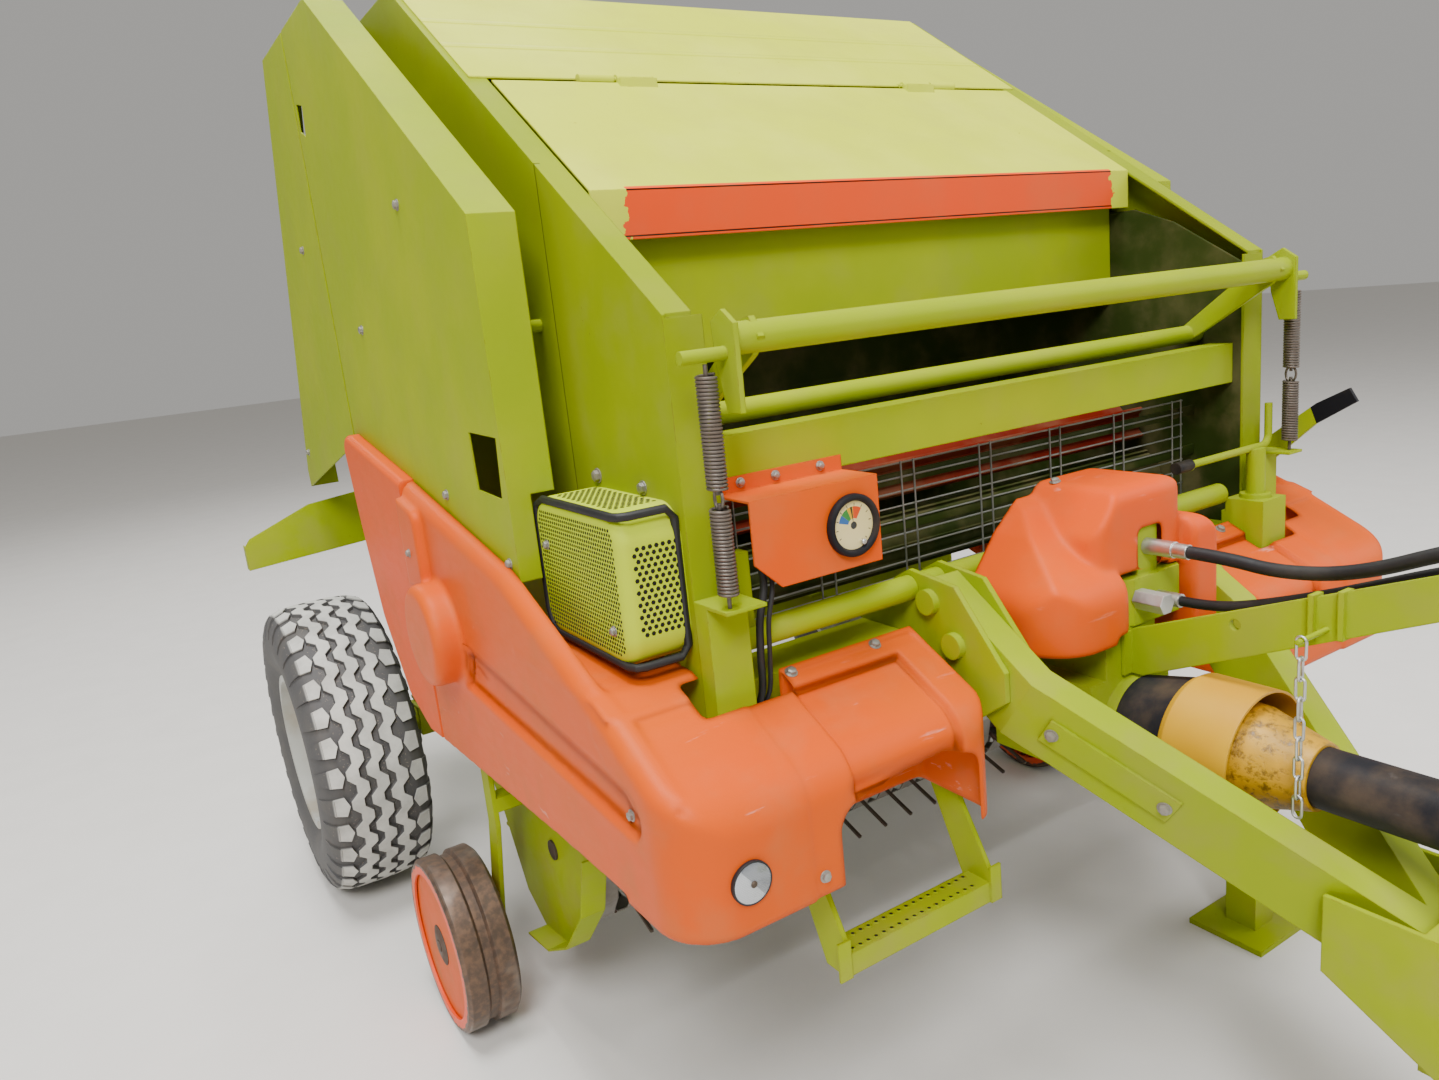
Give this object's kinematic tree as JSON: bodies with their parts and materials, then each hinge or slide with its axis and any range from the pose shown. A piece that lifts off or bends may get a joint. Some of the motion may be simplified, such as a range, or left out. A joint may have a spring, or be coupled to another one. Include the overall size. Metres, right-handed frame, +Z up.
{
  "type": "round baler",
  "caption": "Towed fixed-chamber round baler with drawbar, shielded drive shaft, lifting tined pick-up, side guards, hood and swinging tailgate",
  "frame": {"origin": "on the ground in the machine's centre plane, midway between the tow eye's front and the lamp wings' rear", "axes": "+Z up, -Y towards the tow eye (forward), +X to the machine's left"},
  "size_m": [2.052, 3.2199, 2.071],
  "materials": {
    "green": "gloss lime-green paint, dusty and chipped at edges",
    "dark_green": "dark green paint",
    "orange_shell": "moulded orange plastic",
    "orange_paint": "orange paint, scratched",
    "red_paint": "red paint",
    "yellow_shell": "yellow plastic, greasy",
    "black_shell": "black plastic",
    "black_paint": "black paint",
    "silver_paint": "silver-white paint",
    "steel": "worn bare steel",
    "zinc": "zinc-plated steel",
    "tyre": "black tyre rubber",
    "hose": "black hose rubber"
  },
  "bodies": {
    "frame": {"side_walls": "green", "chamber_walls": "dark_green", "chamber_sheets": "dark_green", "top_cover": "green", "twine_bay": "green", "front_beam": "green", "cross_beam": "green", "tension_frame": "green", "tension_springs": "zinc", "spring_anchors": "green", "mesh_guard": "zinc", "cross_tube": "green", "gauge_bracket": "orange_paint", "pressure_gauge": "black_shell", "axle_beam": "green", "drawbar_bars": "green", "drawbar_brackets": "green", "drawbar_head": "green", "gearbox": "green", "drive_covers": "orange_shell", "pto_shield": "black_shell", "pto_rear_guard": "yellow_shell", "pto_tube": "black_shell", "hose_support": "green", "jack_housing": "green", "side_lever": "green", "right_step": "green", "cover_right": "orange_shell", "cover_left": "orange_shell", "rear_covers": "orange_shell", "side_box": "green", "front_guards": "green", "hydraulic_pump": "green", "hose_fittings": "zinc", "hose_upper": "hose", "hose_lower": "hose", "support_chain": "zinc"},
    "wheel_right": {"tyre_right": "tyre", "rim_right": "silver_paint"},
    "wheel_left": {"tyre_left": "tyre", "rim_left": "silver_paint"},
    "hood_lid": {"hood": "green"},
    "feed_rotor": {"feed_roller": "dark_green"},
    "slat_rotor": {"slat_roller": "red_paint"},
    "jack_slide": {"jack_leg": "green"},
    "drive_rotor": {"pto_shaft": "steel"},
    "pickup": {"pickup_frame": "green", "pickup_bands": "steel"},
    "reel": {"pickup_reel": "black_paint"},
    "gauge_right": {"gauge_wheel_right": "orange_paint"},
    "gauge_left": {"gauge_wheel_left": "orange_paint"},
    "tailgate": {"tailgate_walls": "dark_green", "tailgate_sheet": "green", "rear_guards": "green", "lamp_wings": "green"},
    "barrel_right": {"tailgate_barrel_right": "green"},
    "barrel_left": {"tailgate_barrel_left": "green"},
    "rod_right": {"tailgate_rod_right": "zinc"},
    "rod_left": {"tailgate_rod_left": "zinc"}
  },
  "joints": [
    {"name": "right_wheel_spin", "type": "hinge", "parent": "frame", "child": "wheel_right", "pos_m": [-0.894, 1.23, 0.38], "axis": [1, 0, 0], "continuous": true},
    {"name": "left_wheel_spin", "type": "hinge", "parent": "frame", "child": "wheel_left", "pos_m": [0.894, 1.23, 0.38], "axis": [1, 0, 0], "continuous": true},
    {"name": "pickup_lift", "type": "hinge", "parent": "frame", "child": "pickup", "pos_m": [0, 0.6, 0.52], "axis": [-1, 0, 0], "range_deg": [0, 15]},
    {"name": "reel_spin", "type": "hinge", "parent": "pickup", "child": "reel", "pos_m": [0, 0.25, 0.4], "axis": [1, 0, 0], "continuous": true},
    {"name": "right_gauge_spin", "type": "hinge", "parent": "pickup", "child": "gauge_right", "pos_m": [-0.86, 0.44, 0.18], "axis": [1, 0, 0], "continuous": true},
    {"name": "left_gauge_spin", "type": "hinge", "parent": "pickup", "child": "gauge_left", "pos_m": [0.86, 0.44, 0.18], "axis": [1, 0, 0], "continuous": true},
    {"name": "feed_roller_spin", "type": "hinge", "parent": "frame", "child": "feed_rotor", "pos_m": [0, -0.125, 0.955], "axis": [1, 0, 0], "continuous": true},
    {"name": "slat_roller_spin", "type": "hinge", "parent": "frame", "child": "slat_rotor", "pos_m": [0, -0.1, 1.066], "axis": [1, 0, 0], "continuous": true},
    {"name": "hood_opening", "type": "hinge", "parent": "frame", "child": "hood_lid", "pos_m": [0, 0.236, 1.81465], "axis": [-1, 0, 0], "range_deg": [0, 60]},
    {"name": "tailgate_opening", "type": "hinge", "parent": "frame", "child": "tailgate", "pos_m": [0, 0.89, 2.045], "axis": [1, 0, 0], "range_deg": [0, 65]},
    {"name": "drive_shaft_spin", "type": "hinge", "parent": "frame", "child": "drive_rotor", "pos_m": [0, -0.95, 0.7], "axis": [0, 1, 0], "continuous": true},
    {"name": "jack_extension", "type": "slide", "parent": "frame", "child": "jack_slide", "axis": [0, 0, 1], "range_m": [0, 0.3]},
    {"name": "right_barrel_swing", "type": "hinge", "parent": "frame", "child": "barrel_right", "pos_m": [-0.735, 0.6, 0.95], "axis": [1, 0, 0], "range_deg": [0, 2]},
    {"name": "right_rod_extension", "type": "slide", "parent": "barrel_right", "child": "rod_right", "axis": [0, 0.5469, 0.8372], "range_m": [0, 0.43]},
    {"name": "left_barrel_swing", "type": "hinge", "parent": "frame", "child": "barrel_left", "pos_m": [0.735, 0.6, 0.95], "axis": [1, 0, 0], "range_deg": [0, 2]},
    {"name": "left_rod_extension", "type": "slide", "parent": "barrel_left", "child": "rod_left", "axis": [0, 0.5469, 0.8372], "range_m": [0, 0.43]}
  ],
  "couplings": [
    {"joint": "right_barrel_swing", "follows": "tailgate_opening", "ratio": 0.0286},
    {"joint": "right_rod_extension", "follows": "tailgate_opening", "m_per_rad": 0.3764},
    {"joint": "left_barrel_swing", "follows": "tailgate_opening", "ratio": 0.0286},
    {"joint": "left_rod_extension", "follows": "tailgate_opening", "m_per_rad": 0.3764}
  ]
}
